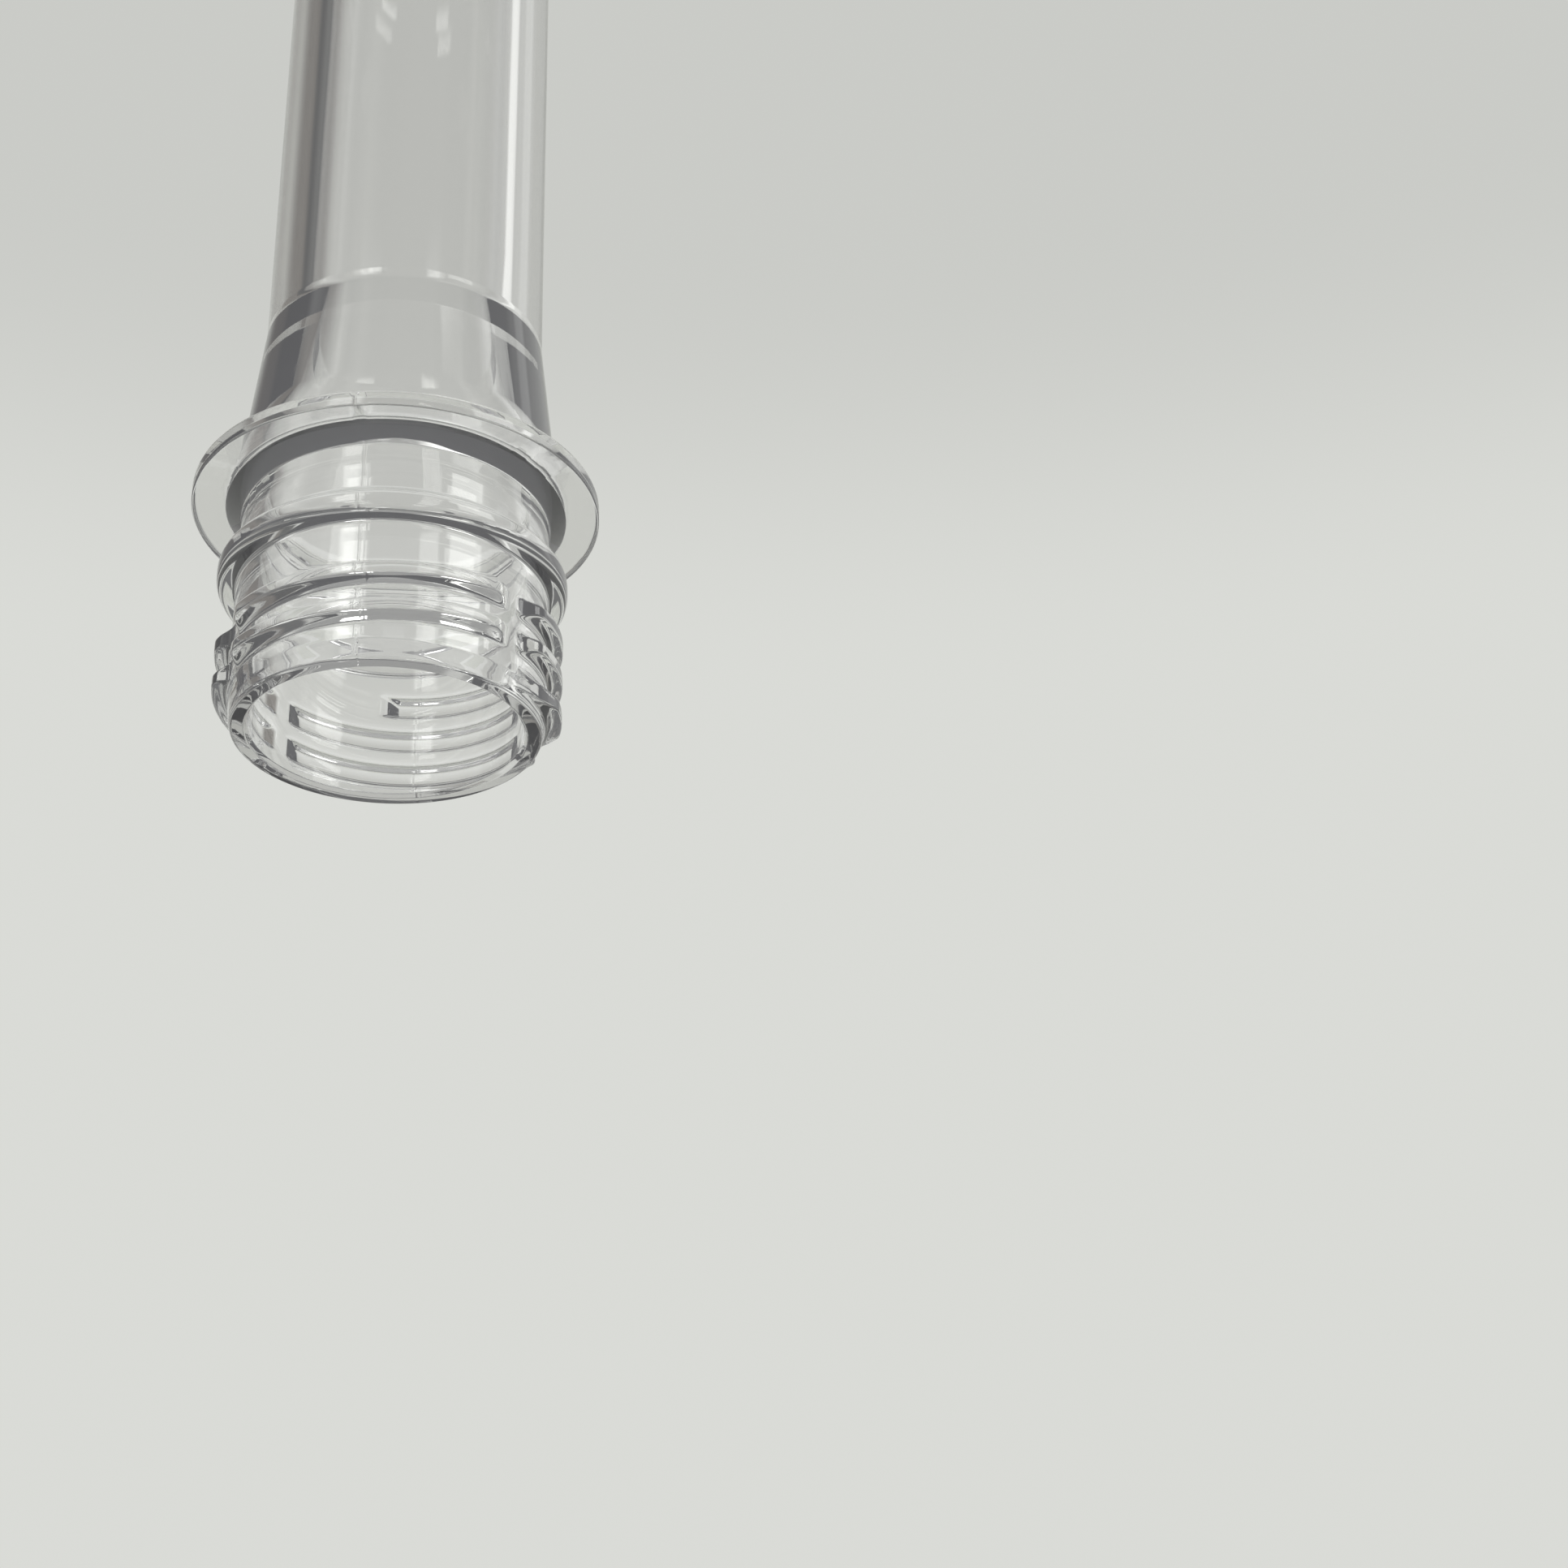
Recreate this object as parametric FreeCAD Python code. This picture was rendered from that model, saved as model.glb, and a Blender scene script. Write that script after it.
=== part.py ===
import FreeCAD, Part
import math
import os

# One clear bottle preform: the thick injection-moulded tube that is later blown into a bottle.
# Frame: +Z runs from the mouth to the closed end, the origin is the centre of the mouth face,
# and the mould parts on the plane X = 0, so one parting line faces -Y and the other +Y.

# Driving dimensions, in millimetres and degrees
OVERALL_LENGTH = 105.0

# Bore and lip
BORE_DIAMETER = 21.5
BORE_STRAIGHT_LENGTH = 19.0
BORE_LIP_CHAMFER = 0.3
LIP_OUTER_DIAMETER = 24.4
LIP_OUTER_ROUND = 0.55
LIP_TAPER_LENGTH = 1.7

# Neck wall, which carries the thread
NECK_DIAMETER = 24.94

# Thread: one start, right-handed, cut by four vent slots
THREAD_DIAMETER = 27.43
THREAD_PITCH = 3.18
THREAD_ROOT_WIDTH = 1.95
THREAD_CREST_WIDTH = 1.25
THREAD_START_HEIGHT = 1.75
THREAD_START_FROM_PARTING_LINE = 73.0
THREAD_SWEEP_ANGLE = 840.0
THREAD_RUN_IN_ANGLE = 24.0
THREAD_RUN_OUT_ANGLE = 8.0
THREAD_ROOT_SINK = 0.45
THREAD_END_SINK = 0.35
SLOT_ROOT_WIDTH = 2.3
SLOT_CREST_WIDTH = 3.7
SLOT_ANGLE_FROM_PARTING_LINE = 60.0

# Bead that holds the cap's tear-off band
BEAD_DIAMETER = 28.0
BEAD_START_HEIGHT = 11.8
BEAD_MOUTH_FLANK_DIAMETER = 27.6
BEAD_MOUTH_FLANK_HEIGHT = 0.8
BEAD_CREST_HEIGHT = 1.2
BEAD_RING_FLANK_HEIGHT = 1.2

# Support ring and the collar on its mouth side
RING_DIAMETER = 33.0
RING_BODY_FACE_HEIGHT = 21.2
RING_RIM_THICKNESS = 1.5
RING_ROOT_THICKNESS = 1.75
RING_EDGE_CHAMFER = 0.25
COLLAR_DIAMETER = 27.5
COLLAR_FOOT_DIAMETER = 25.9
COLLAR_CONE_HEIGHT = 1.05
COLLAR_BLEND_HEIGHT = 0.7

# Shoulder, body and closed end
SHOULDER_DIAMETER = 26.4
SHOULDER_ROOT_CHAMFER = 0.5
BODY_DIAMETER = 23.0
BODY_START_HEIGHT = 37.5
BODY_DRAFT_ANGLE = 0.1
WALL_THICKNESS = 3.35
CORE_DRAFT_ANGLE = 0.15
END_WALL_THICKNESS = 2.7
GATE_DIAMETER = 3.6
GATE_TIP_DIAMETER = 3.0
GATE_HEIGHT = 1.2

# Sizes that follow from the driving ones
BORE_RADIUS = BORE_DIAMETER / 2
NECK_RADIUS = NECK_DIAMETER / 2
THREAD_RADIUS = THREAD_DIAMETER / 2
RING_RADIUS = RING_DIAMETER / 2
DOME_TOP_HEIGHT = OVERALL_LENGTH - GATE_HEIGHT
CAVITY_TOP_HEIGHT = DOME_TOP_HEIGHT - END_WALL_THICKNESS
PARTING_LINE_ANGLE = -90.0
THREAD_START_ANGLE = PARTING_LINE_ANGLE + THREAD_START_FROM_PARTING_LINE

# How far a cutting tool runs past the face that it cuts
TOOL_OVERRUN = 1.0

# Steps in which each end of the thread sinks
THREAD_END_STEPS = 4

QUARTER_TURN = 90.0
AXIS_POINT = FreeCAD.Vector(0, 0, 0)
AXIS = FreeCAD.Vector(0, 0, 1)


def profile_point(point):
    """Return a (radius, height) pair as a point of the half-plane that is turned about Z."""
    return FreeCAD.Vector(point[0], 0, point[1])


def direction(start, end):
    """Return the unit direction and the distance from one (radius, height) point to another."""
    length = math.hypot(end[0] - start[0], end[1] - start[1])
    return ((end[0] - start[0]) / length, (end[1] - start[1]) / length), length


def corner_arc(before, corner, after, radius):
    """Return the start, middle and end of the arc that rounds a corner, within its two sides."""
    back, length_back = direction(corner, before)
    ahead, length_ahead = direction(corner, after)
    half_angle = math.acos(back[0] * ahead[0] + back[1] * ahead[1]) / 2
    setback = min(radius / math.tan(half_angle), 0.45 * length_back, 0.45 * length_ahead)
    arc_radius = setback * math.tan(half_angle)
    inward, _ = direction((0, 0), (back[0] + ahead[0], back[1] + ahead[1]))
    depth = arc_radius / math.sin(half_angle) - arc_radius
    start = (corner[0] + back[0] * setback, corner[1] + back[1] * setback)
    middle = (corner[0] + inward[0] * depth, corner[1] + inward[1] * depth)
    end = (corner[0] + ahead[0] * setback, corner[1] + ahead[1] * setback)
    return start, middle, end


def line_edge(start, end):
    """Return the straight edge between two (radius, height) points."""
    return Part.LineSegment(profile_point(start), profile_point(end)).toShape()


def arc_edge(start, middle, end):
    """Return the arc through three (radius, height) points."""
    return Part.Arc(profile_point(start), profile_point(middle), profile_point(end)).toShape()


def path_edges(corners):
    """Return the edges of an open path; a corner with a third value is rounded by that radius."""
    edges = []
    position = corners[0]
    for before, corner, after in zip(corners, corners[1:], corners[2:]):
        if len(corner) > 2:
            start, middle, end = corner_arc(before, corner, after, corner[2])
            edges.append(line_edge(position, start))
            edges.append(arc_edge(start, middle, end))
            position = end
        else:
            edges.append(line_edge(position, corner))
            position = corner
    edges.append(line_edge(position, corners[-1]))
    return edges


def revolve(edges):
    """Return the solid that a closed profile makes when it turns about Z."""
    face = Part.Face(Part.Wire(Part.sortEdges(edges)[0]))
    return face.revolve(AXIS_POINT, AXIS, 360)


def dome(start_radius, start_height, top_height, draft_angle):
    """Return the radius and centre height of the sphere that closes a drafted tube."""
    draft = math.radians(draft_angle)
    radius_at_top = start_radius - (top_height - start_height) * math.tan(draft)
    sphere_radius = radius_at_top * math.cos(draft) / (1 - math.sin(draft))
    return sphere_radius, top_height - sphere_radius


def dome_point(sphere, angle):
    """Return the (radius, height) point of a sphere's outline at an angle above its equator."""
    radius, centre_height = sphere
    turn = math.radians(angle)
    return radius * math.cos(turn), centre_height + radius * math.sin(turn)


def neck_corners():
    """Outline of the lip, the thread's wall, the bead and the collar."""
    bead_mouth_edge = BEAD_START_HEIGHT + BEAD_MOUTH_FLANK_HEIGHT
    bead_ring_edge = bead_mouth_edge + BEAD_CREST_HEIGHT
    collar_end = RING_BODY_FACE_HEIGHT - RING_ROOT_THICKNESS
    collar_foot = collar_end - COLLAR_CONE_HEIGHT
    return [
        (0, 0),
        (LIP_OUTER_DIAMETER / 2, 0, LIP_OUTER_ROUND),
        (NECK_RADIUS, LIP_TAPER_LENGTH),
        (NECK_RADIUS, BEAD_START_HEIGHT),
        (BEAD_MOUTH_FLANK_DIAMETER / 2, bead_mouth_edge),
        (BEAD_DIAMETER / 2, bead_ring_edge),
        (NECK_RADIUS, bead_ring_edge + BEAD_RING_FLANK_HEIGHT),
        (NECK_RADIUS, collar_foot - COLLAR_BLEND_HEIGHT),
        (COLLAR_FOOT_DIAMETER / 2, collar_foot),
        (COLLAR_DIAMETER / 2, collar_end),
    ]


def ring_corners():
    """Outline of the support ring, whose mouth side slopes and whose rim edges are broken."""
    mouth_face = RING_BODY_FACE_HEIGHT - RING_RIM_THICKNESS
    return [
        (RING_RADIUS - RING_EDGE_CHAMFER, mouth_face),
        (RING_RADIUS, mouth_face + RING_EDGE_CHAMFER),
        (RING_RADIUS, RING_BODY_FACE_HEIGHT - RING_EDGE_CHAMFER),
        (RING_RADIUS - RING_EDGE_CHAMFER, RING_BODY_FACE_HEIGHT),
    ]


def shoulder_corners():
    """Outline of the shoulder, from its blend into the ring to the start of the body."""
    return [
        (SHOULDER_DIAMETER / 2 + SHOULDER_ROOT_CHAMFER, RING_BODY_FACE_HEIGHT),
        (SHOULDER_DIAMETER / 2, RING_BODY_FACE_HEIGHT + SHOULDER_ROOT_CHAMFER),
        (BODY_DIAMETER / 2, BODY_START_HEIGHT),
    ]


def make_outside():
    """Return the solid inside the outer skin, without the thread."""
    sphere = dome(BODY_DIAMETER / 2, BODY_START_HEIGHT, DOME_TOP_HEIGHT, BODY_DRAFT_ANGLE)
    dome_start = dome_point(sphere, BODY_DRAFT_ANGLE)
    gate_angle = math.degrees(math.acos(GATE_DIAMETER / 2 / sphere[0]))
    gate_root = dome_point(sphere, gate_angle)
    gate_tip = (GATE_TIP_DIAMETER / 2, OVERALL_LENGTH)
    edges = path_edges(neck_corners() + ring_corners() + shoulder_corners() + [dome_start])
    edges.append(arc_edge(dome_start, dome_point(sphere, gate_angle / 2), gate_root))
    edges += path_edges([gate_root, gate_tip, (0, OVERALL_LENGTH), (0, 0)])
    return revolve(edges)


def make_cavity():
    """Return the core: the straight bore, its taper, the drafted inside and its round end."""
    core_radius = BODY_DIAMETER / 2 - WALL_THICKNESS
    sphere = dome(core_radius, BODY_START_HEIGHT, CAVITY_TOP_HEIGHT, CORE_DRAFT_ANGLE)
    dome_start = dome_point(sphere, CORE_DRAFT_ANGLE)
    dome_top = (0, CAVITY_TOP_HEIGHT)
    edges = path_edges([
        (0, -TOOL_OVERRUN),
        (BORE_RADIUS + BORE_LIP_CHAMFER + TOOL_OVERRUN, -TOOL_OVERRUN),
        (BORE_RADIUS, BORE_LIP_CHAMFER),
        (BORE_RADIUS, BORE_STRAIGHT_LENGTH),
        (core_radius, BODY_START_HEIGHT),
        dome_start,
    ])
    edges.append(arc_edge(dome_start, dome_point(sphere, QUARTER_TURN / 2), dome_top))
    edges.append(line_edge(dome_top, (0, -TOOL_OVERRUN)))
    return revolve(edges)


def thread_section(angle, crest_radius):
    """Return the thread's closed section, placed on the helix at an angle from its start."""
    flank_slope = (THREAD_ROOT_WIDTH - THREAD_CREST_WIDTH) / 2 / (THREAD_RADIUS - NECK_RADIUS)
    root_radius = NECK_RADIUS - THREAD_ROOT_SINK
    root_half_width = THREAD_ROOT_WIDTH / 2 + THREAD_ROOT_SINK * flank_slope
    crest_half_width = root_half_width - (crest_radius - root_radius) * flank_slope
    wire = Part.Wire(path_edges([
        (root_radius, -root_half_width),
        (crest_radius, -crest_half_width),
        (crest_radius, crest_half_width),
        (root_radius, root_half_width),
        (root_radius, -root_half_width),
    ]))
    wire.translate(FreeCAD.Vector(0, 0, THREAD_START_HEIGHT + THREAD_PITCH * angle / 360))
    wire.rotate(AXIS_POINT, AXIS, THREAD_START_ANGLE + angle)
    return wire


def make_thread_turns():
    """Return the full-height part of the thread."""
    rise = THREAD_PITCH * THREAD_SWEEP_ANGLE / 360
    helix = Part.makeHelix(THREAD_PITCH, rise, NECK_RADIUS)
    helix.translate(FreeCAD.Vector(0, 0, THREAD_START_HEIGHT))
    helix.rotate(AXIS_POINT, AXIS, THREAD_START_ANGLE)
    section = thread_section(0, THREAD_RADIUS)
    return Part.Wire(helix).makePipeShell([section], True, True)


def make_thread_end(first_angle, taper_angle):
    """Return the stretch over which one end of the thread sinks into the neck's wall."""
    sunk_radius = NECK_RADIUS - THREAD_END_SINK
    sections = []
    for step in range(THREAD_END_STEPS + 1):
        share = step / THREAD_END_STEPS
        crest_radius = THREAD_RADIUS + (sunk_radius - THREAD_RADIUS) * share
        sections.append(thread_section(first_angle + taper_angle * share, crest_radius))
    return Part.makeLoft(sections, True, False)


def make_slot_tool(angle):
    """Return the wedge that cuts one vent slot through the thread."""
    inner_radius = NECK_RADIUS - 2 * THREAD_ROOT_SINK
    outer_radius = THREAD_RADIUS + TOOL_OVERRUN
    spread = (SLOT_CREST_WIDTH - SLOT_ROOT_WIDTH) / 2 / (THREAD_RADIUS - NECK_RADIUS)
    inner_half = SLOT_ROOT_WIDTH / 2 - 2 * THREAD_ROOT_SINK * spread
    outer_half = SLOT_CREST_WIDTH / 2 + TOOL_OVERRUN * spread
    wire = Part.makePolygon([
        FreeCAD.Vector(inner_radius, -inner_half, 0),
        FreeCAD.Vector(outer_radius, -outer_half, 0),
        FreeCAD.Vector(outer_radius, outer_half, 0),
        FreeCAD.Vector(inner_radius, inner_half, 0),
        FreeCAD.Vector(inner_radius, -inner_half, 0),
    ])
    tool = Part.Face(wire).extrude(FreeCAD.Vector(0, 0, BEAD_START_HEIGHT))
    tool.rotate(AXIS_POINT, AXIS, angle)
    return tool


def make_thread():
    """Return the slotted thread as one shape of several pieces, its roots inside the wall."""
    turns = make_thread_turns()
    run_in = make_thread_end(0, -THREAD_RUN_IN_ANGLE)
    run_out = make_thread_end(THREAD_SWEEP_ANGLE, THREAD_RUN_OUT_ANGLE)
    thread = turns.fuse([run_in, run_out])
    tools = []
    for parting_line in (PARTING_LINE_ANGLE, PARTING_LINE_ANGLE + 180):
        for side in (-1, 1):
            tools.append(make_slot_tool(parting_line + side * SLOT_ANGLE_FROM_PARTING_LINE))
    return thread.cut(tools)


def make_preform():
    """Return the whole moulding as one solid."""
    wall = make_outside().cut(make_cavity())
    moulding = wall.fuse(make_thread()).removeSplitter()
    return moulding.Solids[0] if len(moulding.Solids) == 1 else moulding


def main():
    os.makedirs("parts", exist_ok=True)
    preform = make_preform()
    print("solids", len(preform.Solids), "valid", preform.isValid())
    print("volume mm3", round(preform.Volume, 1), "box", preform.BoundBox)
    preform.exportStep("parts/preform.step")


main()
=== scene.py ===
import math

import bpy
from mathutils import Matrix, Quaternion, Vector


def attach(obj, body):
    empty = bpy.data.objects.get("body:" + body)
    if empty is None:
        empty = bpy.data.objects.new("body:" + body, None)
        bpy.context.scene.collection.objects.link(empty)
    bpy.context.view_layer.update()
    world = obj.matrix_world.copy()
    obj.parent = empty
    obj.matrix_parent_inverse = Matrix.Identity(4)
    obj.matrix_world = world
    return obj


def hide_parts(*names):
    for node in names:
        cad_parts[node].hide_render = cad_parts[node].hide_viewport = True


# The looks of one clear bottle preform: a thick moulded tube that stands on its mouth.
# The frame is that of the solid model: +Z from the mouth to the closed end.
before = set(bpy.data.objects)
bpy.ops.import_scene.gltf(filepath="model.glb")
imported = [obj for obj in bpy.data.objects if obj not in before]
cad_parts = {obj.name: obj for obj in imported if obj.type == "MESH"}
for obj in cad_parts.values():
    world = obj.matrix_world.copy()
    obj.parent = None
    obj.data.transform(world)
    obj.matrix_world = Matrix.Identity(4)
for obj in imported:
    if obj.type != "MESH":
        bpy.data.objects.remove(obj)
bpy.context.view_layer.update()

# Sizes below are in millimetres and degrees, and meshes are made in metres
MM = 0.001

# Bore and lip
BORE_RADIUS = 10.75
BORE_STRAIGHT_HEIGHT = 18.0
BORE_END_RADIUS = 10.42
BORE_END_HEIGHT = 25.5
LIP_CHAMFER = 0.3
LIP_OUTER_RADIUS = 12.2
LIP_OUTER_ROUND = 0.55
LIP_TAPER_HEIGHT = 1.7
NECK_RADIUS = 12.47

# Thread, with its four vent slots
THREAD_RADIUS = 13.715
THREAD_PITCH = 3.18
THREAD_CREST_HALF_WIDTH = 0.52
THREAD_MOUTH_FLANK = 0.32
THREAD_BODY_FLANK = 0.44
THREAD_START_HEIGHT = 1.5825
THREAD_START_ANGLE = -2.0
THREAD_SWEEP_ANGLE = 820.0
THREAD_RUN_IN_ANGLE = 24.0
THREAD_RUN_OUT_ANGLE = 8.0
THREAD_END_SINK = 0.35
THREAD_ZONE_START = 0.62
THREAD_ROUND = 0.5
SLOT_ANGLES = (-150.0, -30.0, 30.0, 150.0)
SLOT_ROOT_HALF_WIDTH = 1.0
SLOT_CREST_HALF_WIDTH = 2.1
SLOT_ROUND = 0.75

# Bead, collar and support ring
THREAD_ZONE_END = 11.5
BEAD_START_HEIGHT = 12.05
BEAD_RADIUS = 14.0
BEAD_END_HEIGHT = 15.0
COLLAR_START_HEIGHT = 19.05
COLLAR_RADIUS = 13.78
RING_MOUTH_FACE_HEIGHT = 20.0
RING_BODY_FACE_HEIGHT = 21.4
RING_LEAN = 0.1
RING_RADIUS = 16.5

# Shoulder, body, closed end and gate
SHOULDER_RADIUS = 13.2
BODY_RADIUS = 11.5
BODY_START_HEIGHT = 36.8
BODY_DRAFT = 0.1
CORE_RADIUS = 8.15
CORE_START_HEIGHT = 37.3
CORE_DRAFT = 0.15
CAVITY_POLE_RADIUS = 0.56
DOME_TOP_HEIGHT = 103.8
CAVITY_TOP_HEIGHT = 101.1
GATE_RADIUS = 1.8
GATE_TIP_RADIUS = 1.5
OVERALL_LENGTH = 105.0

# Parting line: a hair-fine ridge down the neck on both sides
PARTING_ANGLES = (-90.0, 90.0)
PARTING_RIDGE_HEIGHT = 0.035
PARTING_RIDGE_HALF_WIDTH = 0.5
PARTING_NOTCH_DEPTH = 0.05

# Fineness of the mesh
COLUMN_STEP = 1.2
FINE_COLUMN_STEP = 0.36
ROUND_STEP = 15.0
ROUND_LENGTH = 0.8
DOME_STEP = 7.5
BODY_ROW_STEP = 6.0


def direction(start, end):
    """Return the unit direction and the distance from one (radius, height) point to another."""
    length = math.hypot(end[0] - start[0], end[1] - start[1])
    return ((end[0] - start[0]) / length, (end[1] - start[1]) / length), length


def rounded_corner(before, corner, after):
    """Return the points of the arc that rounds a corner; the corner's third value is its radius."""
    back, length_back = direction(corner, before)
    ahead, length_ahead = direction(corner, after)
    half_angle = math.acos(max(-1.0, min(1.0, back[0] * ahead[0] + back[1] * ahead[1]))) / 2
    setback = min(corner[2] / math.tan(half_angle), 0.48 * length_back, 0.48 * length_ahead)
    radius = setback * math.tan(half_angle)
    inward, _ = direction((0, 0), (back[0] + ahead[0], back[1] + ahead[1]))
    centre_distance = radius / math.sin(half_angle)
    centre = (corner[0] + inward[0] * centre_distance, corner[1] + inward[1] * centre_distance)
    start = math.atan2(corner[1] + back[1] * setback - centre[1],
                       corner[0] + back[0] * setback - centre[0])
    end = math.atan2(corner[1] + ahead[1] * setback - centre[1],
                     corner[0] + ahead[0] * setback - centre[0])
    turn = (end - start + math.pi) % (2 * math.pi) - math.pi
    steps = max(2, math.ceil(abs(math.degrees(turn)) / ROUND_STEP),
                math.ceil(abs(turn) * radius / ROUND_LENGTH))
    return [(centre[0] + radius * math.cos(start + turn * step / steps),
             centre[1] + radius * math.sin(start + turn * step / steps))
            for step in range(steps + 1)]


def rounded_path(corners):
    """Return an open outline's points, with each corner that has a third value rounded."""
    points = [corners[0][:2]]
    for before, corner, after in zip(corners, corners[1:], corners[2:]):
        points += rounded_corner(before, corner, after) if len(corner) > 2 else [corner]
    points.append(corners[-1][:2])
    return points


def drafted_dome(start_radius, start_height, top_height, draft_angle, last_radius):
    """Return the points of a drafted tube's wall and of the sphere that closes it."""
    draft = math.radians(draft_angle)
    radius_at_top = start_radius - (top_height - start_height) * math.tan(draft)
    sphere = radius_at_top * math.cos(draft) / (1 - math.sin(draft))
    centre = top_height - sphere
    rows = math.ceil((centre - start_height) / BODY_ROW_STEP)
    last_angle = math.degrees(math.acos(last_radius / sphere))
    points = []
    for row in range(1, rows):
        height = start_height + (centre - start_height) * row / rows
        points.append((start_radius - (height - start_height) * math.tan(draft), height))
    steps = math.ceil((last_angle - draft_angle) / DOME_STEP)
    for step in range(steps + 1):
        angle = math.radians(draft_angle + (last_angle - draft_angle) * step / steps)
        points.append((sphere * math.cos(angle), centre + sphere * math.sin(angle)))
    return points


def inner_points():
    """Outline of the inside, from the top of the cavity down to the mouth face."""
    dome = drafted_dome(CORE_RADIUS, CORE_START_HEIGHT, CAVITY_TOP_HEIGHT, CORE_DRAFT,
                        CAVITY_POLE_RADIUS)
    path = rounded_path([
        dome[0],
        (CORE_RADIUS, CORE_START_HEIGHT, 4.0),
        (BORE_END_RADIUS, BORE_END_HEIGHT, 20.0),
        (BORE_RADIUS, BORE_STRAIGHT_HEIGHT, 20.0),
        (BORE_RADIUS, 9.0),
        (BORE_RADIUS, LIP_CHAMFER, 0.25),
        (BORE_RADIUS + LIP_CHAMFER, 0, 0.2),
        (LIP_OUTER_RADIUS - LIP_OUTER_ROUND, 0),
    ])
    return dome[:0:-1] + path


def lip_points():
    """Outline of the lip's outer round and the start of the wall that carries the thread."""
    return rounded_path([
        (LIP_OUTER_RADIUS - LIP_OUTER_ROUND, 0),
        (LIP_OUTER_RADIUS, 0, LIP_OUTER_ROUND),
        (wall_radius(THREAD_ZONE_START), THREAD_ZONE_START),
    ])[1:]


def wall_radius(height):
    """Radius of the wall under the thread, which tapers towards the lip."""
    share = min(1.0, height / LIP_TAPER_HEIGHT)
    return LIP_OUTER_RADIUS + (NECK_RADIUS - LIP_OUTER_RADIUS) * share


def outer_points():
    """Outline of the outside past the thread: bead, collar, ring, shoulder, body and gate."""
    dome = drafted_dome(BODY_RADIUS, BODY_START_HEIGHT, DOME_TOP_HEIGHT, BODY_DRAFT, GATE_RADIUS)
    path = rounded_path([
        (NECK_RADIUS, THREAD_ZONE_END),
        (NECK_RADIUS, BEAD_START_HEIGHT, 0.4),
        (BEAD_RADIUS, BEAD_START_HEIGHT + 0.15, 0.8),
        (BEAD_RADIUS, 13.9, 0.7),
        (NECK_RADIUS, BEAD_END_HEIGHT, 0.4),
        (NECK_RADIUS, COLLAR_START_HEIGHT, 0.3),
        (COLLAR_RADIUS, RING_MOUTH_FACE_HEIGHT, 0.12),
        (RING_RADIUS, RING_MOUTH_FACE_HEIGHT - RING_LEAN, 0.15),
        (RING_RADIUS, RING_BODY_FACE_HEIGHT, 0.4),
        (SHOULDER_RADIUS, RING_BODY_FACE_HEIGHT + 2 * RING_LEAN, 1.0),
        (BODY_RADIUS, BODY_START_HEIGHT, 1.5),
        dome[0],
    ])
    gate = rounded_path([
        dome[-2],
        (dome[-1][0], dome[-1][1], 0.3),
        (GATE_TIP_RADIUS, OVERALL_LENGTH, 0.15),
        (0.3, OVERALL_LENGTH),
    ])
    return path + dome[1:-1] + gate[1:]


def smooth_max(a, b, width):
    """Return the larger of two values, with the change from one to the other rounded."""
    share = max(width - abs(a - b), 0.0) / width
    return max(a, b) + share * share * width / 4


def smooth_min(a, b, width):
    """Return the smaller of two values, with the change from one to the other rounded."""
    return -smooth_max(-a, -b, width)


def thread_crest(turned):
    """Radius of the thread's crest at an angle along the helix, sunk at both ends."""
    before = max(0.0, -turned) / THREAD_RUN_IN_ANGLE
    after = max(0.0, turned - THREAD_SWEEP_ANGLE) / THREAD_RUN_OUT_ANGLE
    sunk = min(1.3, max(before, after))
    return THREAD_RADIUS - (THREAD_RADIUS - NECK_RADIUS + THREAD_END_SINK) * sunk


def slot_radius(angle):
    """Radius to which the vent slots cut the thread at an angle."""
    slope = (THREAD_RADIUS - NECK_RADIUS) / (SLOT_CREST_HALF_WIDTH - SLOT_ROOT_HALF_WIDTH)
    least = THREAD_RADIUS + 2.0
    for slot in SLOT_ANGLES:
        across = abs((angle - slot + 180) % 360 - 180)
        beside = NECK_RADIUS * math.radians(across) - SLOT_ROOT_HALF_WIDTH
        least = min(least, NECK_RADIUS + beside * slope)
    return least


def thread_zone_radius(angle, height):
    """Radius of the outside between the lip and the bead, thread and slots included."""
    depth = THREAD_RADIUS - NECK_RADIUS
    base = wall_radius(height)
    slot = slot_radius(angle)
    radius = base
    along = (angle - THREAD_START_ANGLE) % 360
    for turn in range(-1, 3):
        turned = along + 360 * turn
        offset = height - THREAD_START_HEIGHT - THREAD_PITCH * turned / 360
        if abs(offset) > THREAD_PITCH / 2 or turned < -60 or turned > THREAD_SWEEP_ANGLE + 30:
            continue
        flank = THREAD_MOUTH_FLANK if offset < 0 else THREAD_BODY_FLANK
        side = THREAD_RADIUS + (THREAD_CREST_HALF_WIDTH - abs(offset)) * depth / flank
        ridge = smooth_min(thread_crest(turned), side, THREAD_ROUND)
        ridge = smooth_min(ridge, slot, SLOT_ROUND)
        radius = smooth_max(base, ridge, THREAD_ROUND)
    return radius


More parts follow.
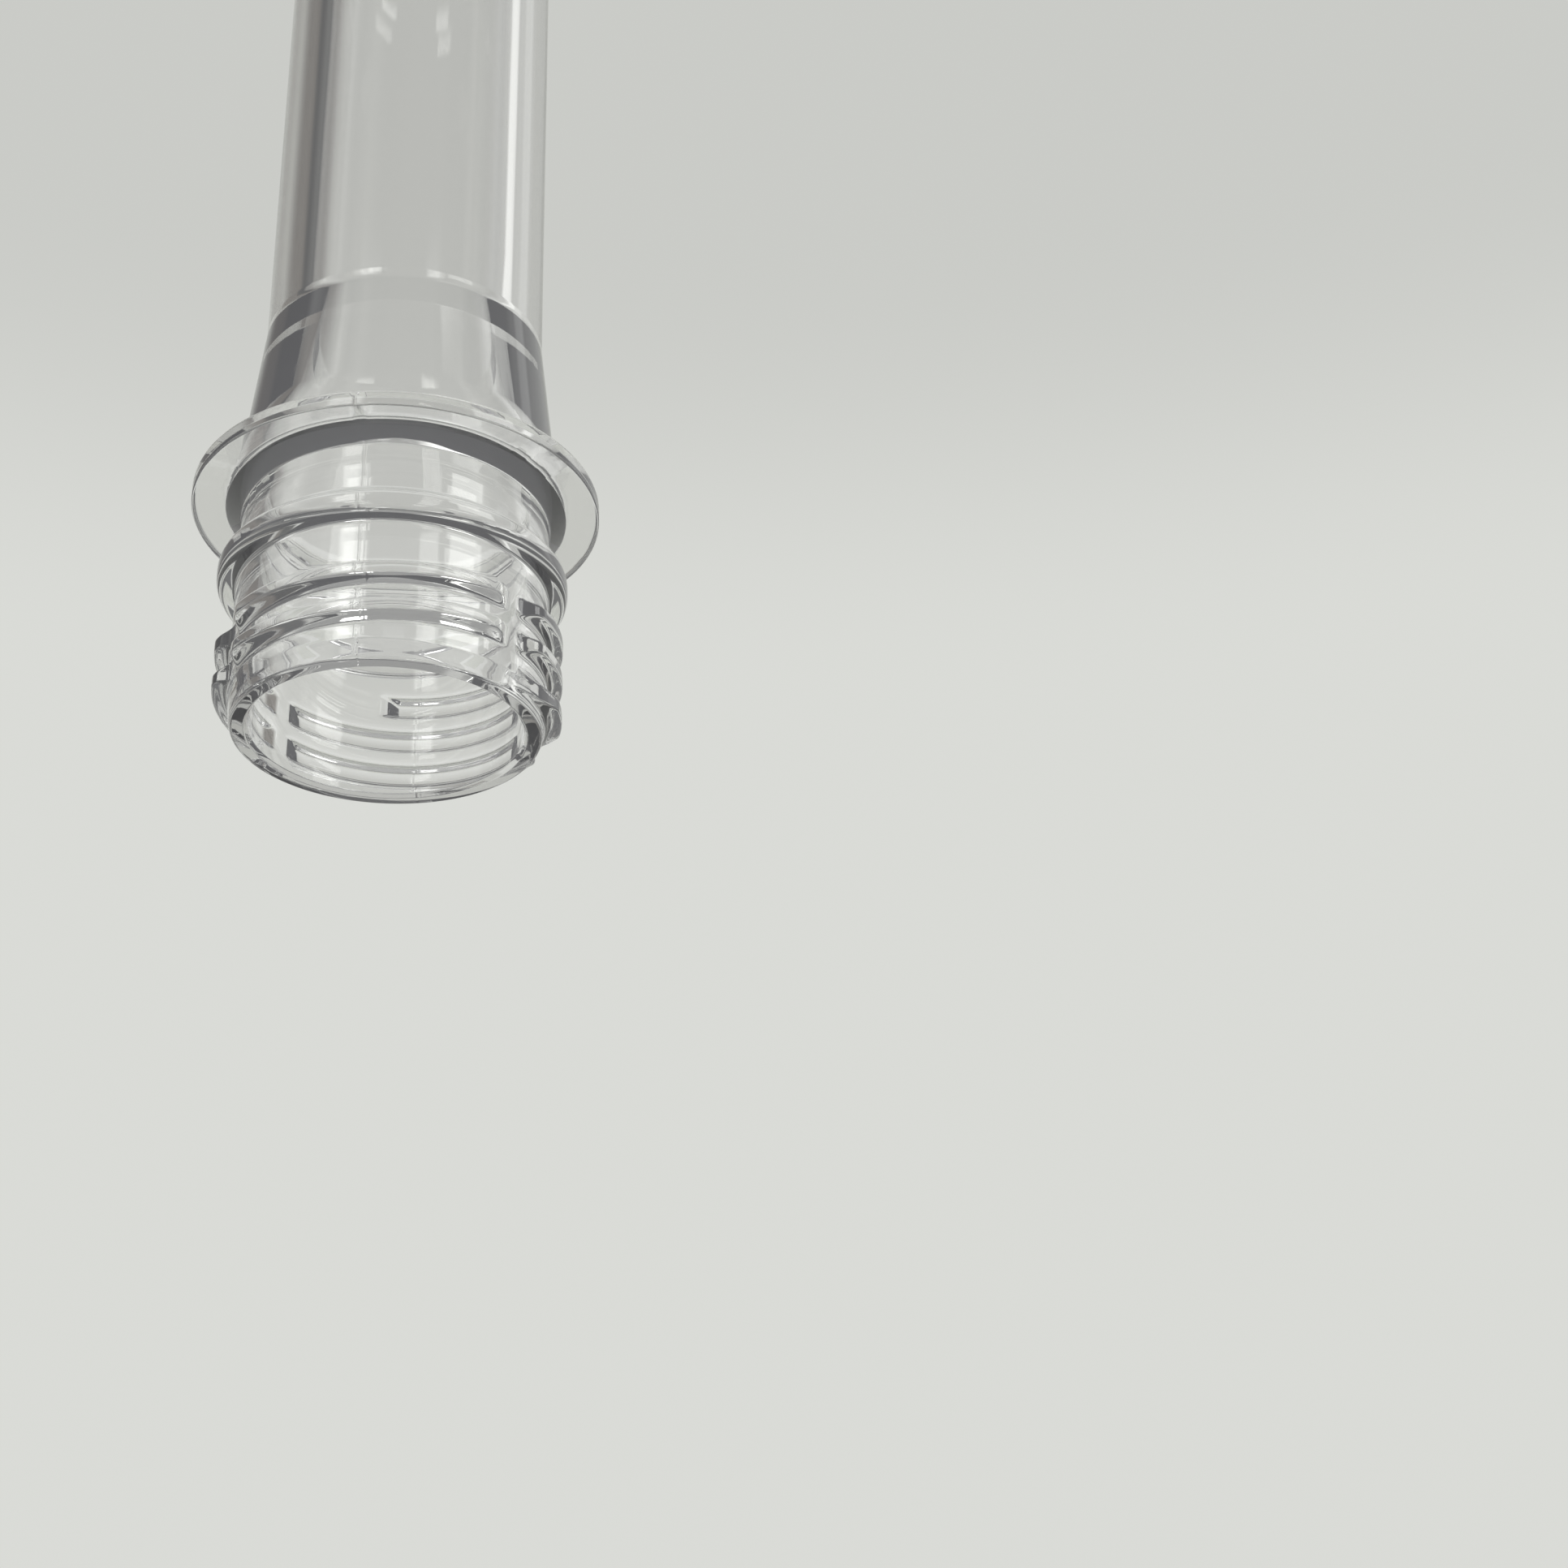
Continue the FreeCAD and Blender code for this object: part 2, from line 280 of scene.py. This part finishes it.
def column_angles():
    """Angles of the mesh's columns, closer together at slots, thread ends and parting lines."""
    fine_spans = [(slot + low, slot + high) for slot in SLOT_ANGLES
                  for low, high in ((-9.6, -3.4), (3.4, 9.6))]
    end = THREAD_START_ANGLE + THREAD_SWEEP_ANGLE
    fine_spans += [(end - 1, end + THREAD_RUN_OUT_ANGLE)]
    angles = [-180 + COLUMN_STEP * step for step in range(round(360 / COLUMN_STEP))]
    for low, high in fine_spans:
        low, high = ((bound + 180) % 360 - 180 for bound in (low, high))
        angles = [angle for angle in angles if not low - 0.3 < angle < high + 0.3]
        steps = round((high - low) / FINE_COLUMN_STEP)
        angles += [low + (high - low) * step / steps for step in range(steps + 1)]
    for line in PARTING_ANGLES:
        angles = [angle for angle in angles if abs(angle - line) > 1.1]
        angles += [line + side for side in (-1.0, -0.5, -0.25, 0.0, 0.25, 0.5, 1.0)]
    return sorted(angles)


def helix_rows():
    """Heights of the thread zone's rows at angle -180, and how many of them one turn has."""
    mouth_side = [-THREAD_CREST_HALF_WIDTH - THREAD_MOUTH_FLANK * share
                  for share in (-0.6, -0.25, 0.0, 0.2, 0.4, 0.6, 0.8, 1.0, 1.3, 1.9, 3.0)]
    body_side = [THREAD_CREST_HALF_WIDTH + THREAD_BODY_FLANK * share
                 for share in (-0.5, -0.25, 0.0, 0.15, 0.3, 0.45, 0.6, 0.75, 0.9, 1.05, 1.25, 1.6)]
    one_turn = sorted(mouth_side + [0.0] + body_side + [THREAD_PITCH / 2])
    first = THREAD_START_HEIGHT + THREAD_PITCH * (-180 - THREAD_START_ANGLE) / 360
    rows = [first + turn * THREAD_PITCH + offset for turn in range(-3, 6) for offset in one_turn]
    low = THREAD_ZONE_START - THREAD_PITCH
    high = THREAD_ZONE_END
    start = max(i for i, row in enumerate(rows) if row <= low)
    end = min(i for i, row in enumerate(rows) if row >= high)
    return rows[start:end + 1], len(one_turn)


def parting_offset(angle, radius, height):
    """How far the parting line stands proud, or is nicked on the support ring's rim."""
    if height <= 0 or height > RING_BODY_FACE_HEIGHT + 0.01:
        return 0.0
    across = min(abs(angle - line) for line in PARTING_ANGLES)
    share = max(0.0, 1 - across / PARTING_RIDGE_HALF_WIDTH)
    return share * (PARTING_RIDGE_HEIGHT if radius < 14.5 else -PARTING_NOTCH_DEPTH)


class Skin:
    """The closed skin of the moulding, filled row by row and turned about Z."""

    def __init__(self):
        self.angles = column_angles()
        self.vertices = []
        self.faces = []

    def vertex(self, radius, height, angle, ridge):
        if ridge:
            radius += parting_offset(angle, radius, height)
        turn = math.radians(angle)
        self.vertices.append((radius * math.cos(turn) * MM, radius * math.sin(turn) * MM,
                              height * MM))
        return len(self.vertices) - 1

    def ring(self, point, ridge):
        return [self.vertex(point[0], point[1], angle, ridge) for angle in self.angles]

    def face(self, corners):
        kept = []
        for corner in corners:
            if corner not in kept:
                kept.append(corner)
        if len(kept) > 2:
            self.faces.append(kept)

    def strip(self, lower, upper):
        for i in range(len(lower)):
            j = (i + 1) % len(lower)
            self.face([lower[i], lower[j], upper[j], upper[i]])

    def rings(self, points, ridge, last=None):
        for point in points:
            ring = self.ring(point, ridge)
            if last is not None:
                self.strip(last, ring)
            last = ring
        return last

    def cap(self, height, ring, closes_start):
        centre = self.vertex(0, height, 0, False)
        for i in range(len(ring)):
            j = (i + 1) % len(ring)
            self.face([centre, ring[j], ring[i]] if closes_start else [centre, ring[i], ring[j]])

    def thread_zone(self, lower, upper):
        heights, per_turn = helix_rows()
        low = THREAD_ZONE_START + 0.012
        high = THREAD_ZONE_END - 0.012
        grid = []
        for height in heights:
            row = []
            for i, angle in enumerate(self.angles):
                z = height + THREAD_PITCH * (angle + 180) / 360
                if z <= low:
                    row.append(lower[i])
                elif z >= high:
                    row.append(upper[i])
                else:
                    row.append(self.vertex(thread_zone_radius(angle, z), z, angle, True))
            grid.append(row)
        last = len(self.angles) - 1
        for j in range(len(grid) - 1):
            for i in range(last):
                self.face([grid[j][i], grid[j][i + 1], grid[j + 1][i + 1], grid[j + 1][i]])
            ahead = min(j + per_turn, len(grid) - 1)
            above = min(j + 1 + per_turn, len(grid) - 1)
            self.face([grid[j][last], grid[ahead][0], grid[above][0], grid[j + 1][last]])


def make_preform():
    """Return the preform's mesh object."""
    skin = Skin()
    inner = inner_points()
    first = skin.ring(inner[0], False)
    skin.cap(CAVITY_TOP_HEIGHT, first, True)
    mouth = skin.rings(inner[1:] + lip_points(), False, first)
    outer = outer_points()
    bead_foot = skin.ring(outer[0], True)
    skin.thread_zone(mouth, bead_foot)
    tip = skin.rings(outer[1:], True, bead_foot)
    skin.cap(OVERALL_LENGTH, tip, False)
    mesh = bpy.data.meshes.new("clear_preform")
    mesh.from_pydata(skin.vertices, [], skin.faces)
    mesh.validate()
    mesh.shade_smooth()
    preform = bpy.data.objects.new("clear_preform", mesh)
    bpy.context.scene.collection.objects.link(preform)
    weights = preform.modifiers.new("even_shading", "WEIGHTED_NORMAL")
    weights.weight = 60
    return preform


def make_plastic():
    """Return clear moulded plastic, faintly blue-grey where it is thick, with a faint painted glow
    that lightens its dark trapped paths.
    """
    material = bpy.data.materials.new("clear_plastic")
    material.use_nodes = True
    tree = material.node_tree
    shader = tree.nodes["Principled BSDF"]
    shader.inputs["Base Color"].default_value = (1.0, 1.0, 1.0, 1)
    shader.inputs["Transmission Weight"].default_value = 1.0
    shader.inputs["IOR"].default_value = PLASTIC_IOR
    nodes = Nodes(tree)
    place = nodes.add("ShaderNodeTexCoord").outputs["Object"]
    flow = nodes.noise(nodes.stretch(place, FLOW_SCALE), 1.0)
    bump = nodes.add("ShaderNodeBump")
    nodes.feed(bump.inputs["Distance"], FLOW_DEPTH)
    nodes.feed(bump.inputs["Height"], flow)
    nodes.feed(shader.inputs["Normal"], bump.outputs[0])
    worn = nodes.noise(nodes.stretch(place, WEAR_SCALE), 2.0)
    worn = nodes.math("SUBTRACT", worn, WEAR_START, True)
    nodes.feed(shader.inputs["Roughness"], nodes.math("MULTIPLY", worn, WEAR_ROUGHNESS))
    # Painted glow: a faint constant emission lightens the plastic where rays stay trapped and dark
    # in the thick walls.
    shader.inputs["Emission Color"].default_value = PLASTIC_PAINTED_GLOW
    shader.inputs["Emission Strength"].default_value = 1.0
    tint = tree.nodes.new("ShaderNodeVolumeAbsorption")
    tint.inputs["Color"].default_value = PLASTIC_TINT
    tint.inputs["Density"].default_value = PLASTIC_DENSITY
    tree.links.new(tint.outputs[0], tree.nodes["Material Output"].inputs["Volume"])
    return material


class Nodes:
    """A node tree with short calls for its maths."""

    def __init__(self, tree):
        self.tree = tree

    def add(self, kind, **settings):
        node = self.tree.nodes.new(kind)
        for name, value in settings.items():
            setattr(node, name, value)
        return node

    def feed(self, socket, value):
        if isinstance(value, bpy.types.NodeSocket):
            self.tree.links.new(value, socket)
        else:
            socket.default_value = value

    def math(self, operation, a, b=0.0, clamp=False):
        node = self.add("ShaderNodeMath", operation=operation, use_clamp=clamp)
        self.feed(node.inputs[0], a)
        self.feed(node.inputs[1], b)
        return node.outputs[0]

    def mix(self, share, a, b):
        node = self.add("ShaderNodeMix", data_type="RGBA")
        self.feed(node.inputs[0], share)
        self.feed(node.inputs[6], a)
        self.feed(node.inputs[7], b)
        return node.outputs[2]

    def stretch(self, place, scale):
        node = self.add("ShaderNodeMapping")
        self.feed(node.inputs["Vector"], place)
        self.feed(node.inputs["Scale"], scale)
        return node.outputs[0]

    def noise(self, place, detail):
        node = self.add("ShaderNodeTexNoise")
        self.feed(node.inputs["Vector"], place)
        self.feed(node.inputs["Scale"], 1.0)
        self.feed(node.inputs["Detail"], detail)
        return node.outputs[0]

    def fade(self, distance, half_width, softness):
        """Return 1 within half_width, falling smoothly to 0 over softness."""
        node = self.add("ShaderNodeMapRange", interpolation_type="SMOOTHERSTEP")
        self.feed(node.inputs[0], distance)
        self.feed(node.inputs[1], half_width)
        self.feed(node.inputs[2], half_width + softness)
        self.feed(node.inputs[3], 1.0)
        self.feed(node.inputs[4], 0.0)
        return node.outputs[0]


def make_studio():
    """Light the scene from a pale room that has soft cards and windows beside the object."""
    world = bpy.data.worlds.new("studio")
    bpy.context.scene.world = world
    world.use_nodes = True
    nodes = Nodes(world.node_tree)
    background = world.node_tree.nodes["Background"]
    split = nodes.add("ShaderNodeSeparateXYZ")
    nodes.feed(split.inputs[0], nodes.add("ShaderNodeTexCoord").outputs["Generated"])
    x, y, z = split.outputs
    heading = nodes.math("MULTIPLY", nodes.math("ARCTAN2", x, y), 180 / math.pi)
    rise = nodes.math("MULTIPLY", nodes.math("ARCSINE", z), 180 / math.pi)
    low_glow = nodes.fade(rise, BACKDROP_LOW_RISE, BACKDROP_FADE)
    backdrop = nodes.mix(low_glow, grey(BACKDROP_LEVEL), grey(BACKDROP_LOW_LEVEL))
    room = backdrop
    for card_heading, card_rise, half_width, half_height, softness, level, tint in STUDIO_CARDS:
        turn = nodes.math("SUBTRACT", heading, card_heading)
        turn = nodes.math("PINGPONG", turn, 180.0)
        across = nodes.fade(turn, half_width, softness)
        lift = nodes.math("ABSOLUTE", nodes.math("SUBTRACT", rise, card_rise))
        up = nodes.fade(lift, half_height, softness)
        room = nodes.mix(nodes.math("MULTIPLY", across, up), room, grey(level, tint))
    path = nodes.add("ShaderNodeLightPath")
    plain = nodes.mix(path.outputs["Is Diffuse Ray"], room, grey(DIFFUSE_LEVEL))
    shown = nodes.mix(path.outputs["Is Camera Ray"], plain, backdrop)
    nodes.feed(background.inputs["Color"], shown)


def grey(level, tint=(1.0, 1.013, 0.968)):
    """Return a grey of that level, with the photograph's faint tint."""
    return (level * tint[0], level * tint[1], level * tint[2], 1.0)


def make_floor():
    """Return the pale floor. It is clear from below, where the camera stands."""
    material = bpy.data.materials.new("pale_floor")
    material.use_nodes = True
    nodes = Nodes(material.node_tree)
    shader = material.node_tree.nodes["Principled BSDF"]
    shader.inputs["Base Color"].default_value = grey(FLOOR_LEVEL)
    shader.inputs["Roughness"].default_value = 0.8
    shader.inputs["Specular IOR Level"].default_value = 0.1
    below = nodes.add("ShaderNodeNewGeometry").outputs["Backfacing"]
    clear = nodes.add("ShaderNodeBsdfTransparent")
    one_sided = nodes.add("ShaderNodeMixShader")
    nodes.feed(one_sided.inputs[0], below)
    nodes.feed(one_sided.inputs[1], shader.outputs[0])
    nodes.feed(one_sided.inputs[2], clear.outputs[0])
    nodes.feed(material.node_tree.nodes["Material Output"].inputs["Surface"], one_sided.outputs[0])
    half = FLOOR_HALF_SIZE
    mesh = bpy.data.meshes.new("floor")
    corners = [(-half, -half), (half, -half), (half, half), (-half, half)]
    mesh.from_pydata([(x, y, -FLOOR_DROP) for x, y in corners], [], [(0, 1, 2, 3)])
    floor = bpy.data.objects.new("floor", mesh)
    bpy.context.scene.collection.objects.link(floor)
    mesh.materials.append(material)


def make_camera():
    """Place the camera below the mouth's level, looking up, as in the photograph."""
    data = bpy.data.cameras.new("camera")
    data.lens = CAMERA_LENS
    data.sensor_width = 36.0
    data.clip_start = 0.005
    data.clip_end = 20.0
    camera = bpy.data.objects.new("camera", data)
    bpy.context.scene.collection.objects.link(camera)
    camera.location = Vector(CAMERA_PLACE) * MM
    level = Vector(CAMERA_DIRECTION).to_track_quat("-Z", "Y")
    roll = Quaternion((0, 0, 1), math.radians(CAMERA_ROLL))
    camera.rotation_mode = "QUATERNION"
    camera.rotation_quaternion = level @ roll
    bpy.context.scene.camera = camera


CAMERA_PLACE = (41.4, -183.3, -98.8)
CAMERA_DIRECTION = (-0.04982, 0.89115, 0.45098)
CAMERA_ROLL = -1.5
CAMERA_LENS = 61.4

PLASTIC_IOR = 1.575
PLASTIC_TINT = (0.04, 0.03, 0.0, 1)
PLASTIC_DENSITY = 26.0
# Painted glow: colour of the plastic's faint emission, which lightens its dark trapped paths
PLASTIC_PAINTED_GLOW = (0.0218, 0.0219, 0.0230, 1)
FLOW_SCALE = (420.0, 420.0, 50.0)
FLOW_DEPTH = 0.000005
WEAR_SCALE = (500.0, 500.0, 300.0)
WEAR_START = 0.56
WEAR_ROUGHNESS = 0.35

BACKDROP_LEVEL = 0.592
BACKDROP_LOW_LEVEL = 0.70
BACKDROP_LOW_RISE = 28.0
BACKDROP_FADE = 11.0
DIFFUSE_LEVEL = 0.9
FLOOR_LEVEL = 0.66
FLOOR_HALF_SIZE = 3.0
FLOOR_DROP = 0.00002

# Soft cards round the object: heading from +Y towards +X, rise, half sizes, soft edge, level, tint
COOL = (1.0, 1.01, 0.98)
WARM = (1.08, 1.0, 0.9)
SOFT = (1.0, 1.013, 0.95)
STUDIO_CARDS = [
    (180.0, 20.0, 62.0, 100.0, 14.0, 0.32, COOL),
    (-18.0, 55.0, 26.0, 22.0, 12.0, 0.53, SOFT),
    (-62.0, 30.0, 7.0, 55.0, 26.0, 0.18, WARM),
    (-84.0, 30.0, 10.0, 55.0, 11.0, 0.09, COOL),
    (53.0, 35.0, 3.0, 45.0, 6.0, 1.1, COOL),
    (80.0, 30.0, 8.0, 55.0, 10.0, 0.36, COOL),
    (115.0, 31.0, 11.0, 3.0, 3.5, 3.5, COOL),
    (-161.0, 31.0, 7.0, 3.0, 5.0, 3.6, COOL),
    (75.0, 75.0, 40.0, 5.0, 6.0, 2.4, COOL),
    (125.0, 3.0, 20.0, 2.0, 14.0, 1.2, COOL),
    (-125.0, 3.0, 20.0, 2.0, 14.0, 1.2, COOL),
]

preform = make_preform()
preform.data.materials.append(make_plastic())
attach(preform, "root")
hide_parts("preform")
make_floor()
make_studio()
make_camera()
bpy.context.scene.view_settings.view_transform = "Standard"
